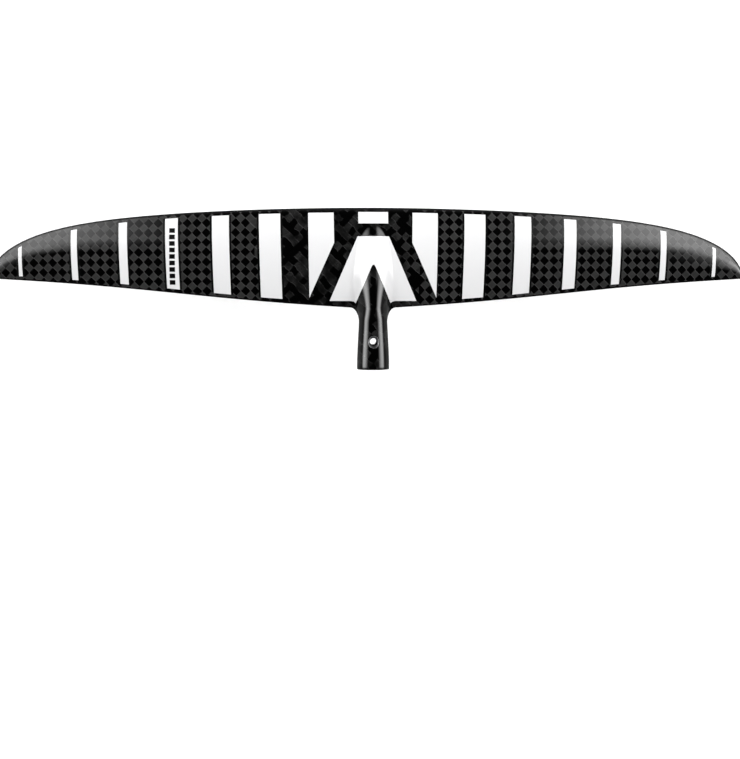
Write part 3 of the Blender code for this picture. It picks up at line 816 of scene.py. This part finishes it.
def carbon_material():
    """Plain weave of spread tows at 45 degrees under a clear coat, stirred near the middle.  The
    upper tows are painted paler as painted sheen, with a painted highlight along one edge.
    """
    n = Nodes(bpy.data.materials.new("woven_carbon"))
    source, x, y, z = n.place()
    stirred = n.ramp(n.math("ABSOLUTE", n.math("ADD", x, STIR_SIDE)), *STIR_REACH, 1.0, 0.0)
    stir = n.math("ADD", n.math("MULTIPLY", stirred, STIR_MOST), STIR_LEAST)
    stir_x = n.math("MULTIPLY", n.math("SUBTRACT", n.noise(source, STIR_SCALE), 0.5), stir)
    shifted = n.add("ShaderNodeVectorMath", operation="ADD")
    n.link(source, shifted.inputs[0])
    n.link(STIR_OFFSET, shifted.inputs[1])
    stir_y = n.math("SUBTRACT", n.noise(shifted.outputs[0], STIR_SCALE), 0.5)
    stir_y = n.math("MULTIPLY", stir_y, stir)
    turned = n.math("MULTIPLY", n.math("ADD", x, WEAVE_SQUARE_X), -WEAVE_TURN)
    x = n.math("ADD", n.math("ADD", x, WEAVE_PHASE), stir_x)
    y = n.math("ADD", n.math("ADD", y, turned), stir_y)
    scale = 1.0 / (TOW * math.sqrt(2.0))
    u = n.math("MULTIPLY", n.math("ADD", x, y), scale)
    v = n.math("MULTIPLY", n.math("SUBTRACT", y, x), scale)
    cell_u, cell_v = n.math("FLOOR", u), n.math("FLOOR", v)
    part_u, part_v = n.math("FRACT", u), n.math("FRACT", v)
    over = n.math("MODULO", n.math("ADD", n.math("ADD", cell_u, cell_v), CELLS_ABOVE_ZERO), 2.0)
    over = n.math("LESS_THAN", over, 0.5)

    cell = n.add("ShaderNodeTexWhiteNoise", noise_dimensions="2D")
    n.link(n.vector(cell_u, cell_v), cell.inputs["Vector"])
    chance = cell.outputs["Value"]
    swapped = n.math("LESS_THAN", chance, n.math("MULTIPLY", stirred, SWAPPED_SHARE))
    over = n.math("ABSOLUTE", n.math("SUBTRACT", over, swapped))

    def fibres(along, across):
        return n.noise(n.vector(n.math("MULTIPLY", along, FIBRE_ALONG),
                                n.math("MULTIPLY", across, FIBRE_ACROSS), z), 1.0, 3.0)

    fibre_u, fibre_v = fibres(u, v), fibres(v, u)
    fibre = n.math("ADD", n.math("MULTIPLY", fibre_u, over),
                   n.math("MULTIPLY", fibre_v, n.math("SUBTRACT", 1.0, over)))

    def edge(part):
        return n.math("MINIMUM", part, n.math("SUBTRACT", 1.0, part))

    across = n.math("ADD", n.math("MULTIPLY", edge(part_v), over),
                    n.math("MULTIPLY", edge(part_u), n.math("SUBTRACT", 1.0, over)))
    # where the cloth is disturbed, the painted sheen is dimmed in patches
    patch = n.ramp(n.noise(source, PATCH_SCALE, 3.0), 0.35, 0.65)
    shade = n.math("ADD", n.math("MULTIPLY", patch, PATCH_LIFT), PATCH_SHADE)
    shade = n.math("MULTIPLY", stirred, shade)
    light = n.math("MULTIPLY", over, n.math("SUBTRACT", 1.0, shade))
    # painted sheen: the upper tows are painted paler, varying from tow to tow and along the fibres
    sheen_variation = n.math("ADD", n.math("MULTIPLY", chance, 0.30), n.math("MULTIPLY", fibre, 0.9))
    bright = n.math("MULTIPLY", light, n.math("ADD", sheen_variation, 0.2))
    base = n.colour(n.math("MINIMUM", bright, 1.0), DARK_TOW, SHEEN_TOW)
    # painted highlight along one edge of each upper tow
    lip = n.math("MULTIPLY", n.ramp(edge(part_u), 0.02, 0.10, 1.0, 0.0), light)
    base = n.colour(n.math("MULTIPLY", lip, 0.40), base, TOW_EDGE_HIGHLIGHT)
    rough = n.math("ADD", n.math("MULTIPLY", fibre, 0.16), n.math("MULTIPLY", over, -0.05))
    height = n.math("ADD", n.math("MULTIPLY", n.ramp(across, 0.0, 0.5), 0.6),
                    n.math("MULTIPLY", fibre, 0.25))
    n.set(Base_Color=base, Roughness=n.math("ADD", rough, 0.36), Specular_IOR_Level=0.0,
          Coat_Weight=1.0, Coat_Roughness=0.07)
    n.bump(height, WEAVE_DEPTH, 0.6)
    return n.owner


def paint_material(name, colour, roughness, mottle):
    """Gloss paint under the same clear coat, with a faint cloudiness and orange peel."""
    n = Nodes(bpy.data.materials.new(name))
    source, *_ = n.place()
    cloud = n.noise(source, 14.0, 4.0)
    n.set(Base_Color=n.colour(cloud, colour, tuple(c * mottle for c in colour)),
          Roughness=n.math("ADD", n.math("MULTIPLY", cloud, 0.08), roughness),
          Specular_IOR_Level=0.1, Coat_Weight=1.0, Coat_Roughness=0.05)
    n.bump(n.noise(source, 420.0, 1.0), 0.00001, 0.25)
    return n.owner


def laminate_material():
    """Cut edge and inside of the laminate: thin plies in dark resin."""
    n = Nodes(bpy.data.materials.new("ply_laminate"))
    source, x, _, z = n.place()
    ring = n.math("SQRT", n.math("ADD", n.math("POWER", x, 2.0),
                                 n.math("POWER", n.math("MULTIPLY", z, 1.3), 2.0)))
    wander = n.math("MULTIPLY", n.noise(source, 60.0), 0.0006)
    ply = n.math("SINE", n.math("MULTIPLY", n.math("ADD", ring, wander), 2.0 * math.pi / PLY))
    ply = n.ramp(ply, -0.6, 0.6)
    grain = n.noise(source, 900.0, 3.0)
    dark = n.colour(ply, (0.010, 0.010, 0.011), (0.030, 0.030, 0.032))
    n.set(Base_Color=n.colour(n.math("MULTIPLY", grain, 0.5), dark, (0.045, 0.045, 0.047)),
          Roughness=n.math("ADD", n.math("MULTIPLY", grain, 0.25), 0.38))
    n.bump(n.math("ADD", ply, grain), 0.00003, 0.5)
    return n.owner


def metal_material():
    """Turned titanium with fine rings left by the tool."""
    n = Nodes(bpy.data.materials.new("turned_metal"))
    source, x, y, _ = n.place()
    radius = n.math("SQRT", n.math("ADD", n.math("MULTIPLY", x, x), n.math("MULTIPLY", y, y)))
    rings = n.math("SINE", n.math("MULTIPLY", radius, 2.0 * math.pi / TOOL_FEED))
    smudge = n.noise(source, 260.0, 3.0)
    n.set(Base_Color=n.colour(smudge, (0.22, 0.22, 0.225), (0.32, 0.32, 0.325)), Metallic=1.0,
          Roughness=n.math("ADD", n.math("MULTIPLY", smudge, 0.18), 0.30))
    n.bump(rings, 0.00001, 0.35)
    return n.owner


def cellular_material(name, pale, dark, scale):
    """Foam: fine closed cells with a slightly uneven colour."""
    n = Nodes(bpy.data.materials.new(name))
    source, *_ = n.place()
    cells = n.add("ShaderNodeTexVoronoi", feature="F1")
    n.link(source, cells.inputs["Vector"])
    n.link(scale, cells.inputs["Scale"])
    n.set(Base_Color=n.colour(n.noise(source, 40.0, 4.0), pale, dark), Roughness=0.9)
    n.bump(cells.outputs["Distance"], 0.0004, 0.8)
    return n.owner


def resin_material():
    n = Nodes(bpy.data.materials.new("filled_resin"))
    source, *_ = n.place()
    speck = n.noise(source, 700.0, 4.0)
    n.set(Base_Color=n.colour(speck, (0.36, 0.30, 0.17), (0.22, 0.18, 0.10)),
          Roughness=n.math("ADD", n.math("MULTIPLY", speck, 0.2), 0.4))
    n.bump(speck, 0.00004, 0.4)
    return n.owner


def finish_inner_nodes(laminate, foam, dense, resin):
    """Materials of the pieces inside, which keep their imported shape."""
    slots = {row["node"]: row["material_slot"] for row in frame["record"]["subparts"]}
    chosen = {"laminate": laminate, "foam": foam, "dense_foam": dense, "resin": resin}
    for name, node in frame["nodes"].items():
        if slots[name] in chosen:
            node.data.materials.clear()
            node.data.materials.append(chosen[slots[name]])


# ---- stage, light and camera ----

FLOOR_DROP = 0.15              # the photo shows no contact shadow, so the floor lies well below
FLOOR_SIZE = 12.0
FLOOR_GLOW = 0.3
FLOOR_DIMMING = 0.75           # taken off the floor's glow where it is seen in a reflection
SOFTBOX_PLACE = (0.60, 1.70, 0.75)       # of the right hand one, the left mirrors it
SOFTBOX_AIM = (0.0, 0.11, 0.0)
SOFTBOX_SIZE = (1.2, 0.6)
SOFTBOX_POWER = 8.6

# The sky's bright areas, in parts of a direction's length: they fade in from the first value
# of a pair to the second
FRONT_OUT, FRONT_AHEAD, FRONT_UP = (0.28, 0.56), (-0.02, 0.20), (0.30, 0.62)
FRONT_LIGHT = 3.2
LEFT_SHARE, RIGHT_SHARE = 1.20, 1.60     # of FRONT_LIGHT, to the left and to the right
SHARE_TURN = (-0.20, 0.20)
SIDE_OUT, SIDE_ALONG, SIDE_UP = (0.50, 0.84), (0.20, 0.05), (0.25, 0.50)
SIDE_LIGHT = 8.6
AROUND_UP = (0.75, 0.20)
AROUND_LIGHT = 0.25

CAMERA_DISTANCE = 1.10
CAMERA_LENS = 45.0
CAMERA_ROLL = math.radians(2.2)
CAMERA_SHIFT_Y = -0.1205
CAMERA_AIM_X = -0.0036
CAMERA_AIM_Y = 0.094


def build_floor():
    low, _ = CAD_BOX
    mesh = bmesh.new()
    bmesh.ops.create_grid(mesh, x_segments=8, y_segments=8, size=FLOOR_SIZE)
    data = bpy.data.meshes.new("floor")
    mesh.to_mesh(data)
    mesh.free()
    floor = bpy.data.objects.new("floor", data)
    floor.location = (0.0, 0.0, low.z - FLOOR_DROP)
    bpy.context.scene.collection.objects.link(floor)
    n = Nodes(bpy.data.materials.new("pale_floor"))
    mirrored_ray = n.add("ShaderNodeLightPath").outputs["Is Glossy Ray"]
    dim = n.math("SUBTRACT", 1.0, n.math("MULTIPLY", mirrored_ray, FLOOR_DIMMING))
    n.set(Base_Color=n.colour(mirrored_ray, (0.86, 0.86, 0.86), (0.25, 0.25, 0.25)),
          Roughness=0.95, Specular_IOR_Level=0.1, Emission_Color=(1.0, 1.0, 1.0, 1.0),
          Emission_Strength=n.math("MULTIPLY", dim, FLOOR_GLOW))
    data.materials.append(n.owner)


def softbox(name, place):
    light = bpy.data.lights.new(name, "AREA")
    light.shape = "RECTANGLE"
    light.size, light.size_y = SOFTBOX_SIZE
    light.energy = SOFTBOX_POWER
    thing = bpy.data.objects.new(name, light)
    thing.visible_glossy = False
    thing.location = place
    thing.rotation_euler = (Vector(SOFTBOX_AIM) - Vector(place)).to_track_quat("-Z", "Y").to_euler()
    bpy.context.scene.collection.objects.link(thing)


def build_lights():
    """Two soft boxes for shading.  What the gloss reflects is the sky of build_sky."""
    out, ahead, up = SOFTBOX_PLACE
    softbox("front_left", (-out, ahead, up))
    softbox("front_right", (out, ahead, up))


def build_sky():
    """White where it is seen itself.  As light: dark overhead, with soft bright areas to the
    sides and in front of the tips."""
    n = Nodes(bpy.data.worlds.new("studio"), "Background")
    parts = n.add("ShaderNodeSeparateXYZ")
    n.link(n.add("ShaderNodeTexCoord").outputs["Generated"], parts.inputs[0])
    x, y, z = parts.outputs
    out = n.math("ABSOLUTE", x)
    front = n.math("MULTIPLY", n.ramp(out, *FRONT_OUT), n.ramp(y, *FRONT_AHEAD))
    front = n.math("MULTIPLY", front, n.ramp(x, *SHARE_TURN, LEFT_SHARE, RIGHT_SHARE))
    front = n.math("MULTIPLY", front, n.ramp(z, *FRONT_UP))
    side = n.math("MULTIPLY", n.ramp(out, *SIDE_OUT), n.ramp(n.math("ABSOLUTE", y), *SIDE_ALONG))
    side = n.math("MULTIPLY", side, n.ramp(z, *SIDE_UP))
    boxes = n.math("ADD", n.math("MULTIPLY", front, FRONT_LIGHT),
                   n.math("MULTIPLY", side, SIDE_LIGHT))
    around = n.math("MULTIPLY", n.ramp(z, *AROUND_UP), AROUND_LIGHT)
    lit = n.math("ADD", boxes, around)
    seen = n.add("ShaderNodeLightPath").outputs["Is Camera Ray"]
    lit = n.math("ADD", n.math("MULTIPLY", lit, n.math("SUBTRACT", 1.0, seen)), seen)
    n.link((1.0, 1.0, 1.0, 1.0), n.shader.inputs["Color"])
    n.link(lit, n.shader.inputs["Strength"])
    bpy.context.scene.world = n.owner
    bpy.context.scene.view_settings.view_transform = "Standard"


def build_camera():
    """Looks straight down on the wing, a little off the vertical towards the left."""
    data = bpy.data.cameras.new("camera")
    data.lens = CAMERA_LENS
    data.sensor_width = 36.0
    data.shift_y = CAMERA_SHIFT_Y
    camera = bpy.data.objects.new("camera", data)
    camera.location = (CAMERA_AIM_X - CAMERA_DISTANCE * math.sin(CAMERA_ROLL), CAMERA_AIM_Y,
                       CAMERA_DISTANCE * math.cos(CAMERA_ROLL))
    camera.rotation_euler = (0.0, -CAMERA_ROLL, 0.0)
    bpy.context.scene.collection.objects.link(camera)
    bpy.context.scene.camera = camera


def build():
    carbon = carbon_material()
    white = paint_material("white_paint", (0.83, 0.83, 0.835), 0.30, 0.965)
    black = paint_material("black_print", (0.0012, 0.0012, 0.0012), 0.35, 1.6)
    laminate = laminate_material()
    metal = metal_material()
    foam = cellular_material("core_foam", (0.74, 0.66, 0.47), (0.62, 0.54, 0.36), 900.0)
    dense = cellular_material("dense_core_foam", (0.50, 0.57, 0.42), (0.40, 0.47, 0.33), 1400.0)
    finish_inner_nodes(laminate, foam, dense, resin_material())

    cutters, sleeve_holes = {1: [], -1: []}, []
    for node in sorted(FERRULES):
        y, side, outline = build_ferrule(node, [metal])
        cutters[side].append(hole_cutter("hole_" + node, y, side, outline))
        sleeve_holes.append((node, y, side))
    skin_materials = [white, carbon, black, laminate]
    build_skin(1, "painted_upper_skin", "upper_skin", top_artwork(), cutters[1], skin_materials)
    build_skin(-1, "painted_lower_skin", "lower_skin", bottom_artwork(), cutters[-1],
               skin_materials)
    build_sleeve([laminate], sleeve_holes)
    build_floor()
    build_lights()
    build_sky()
    build_camera()


build()
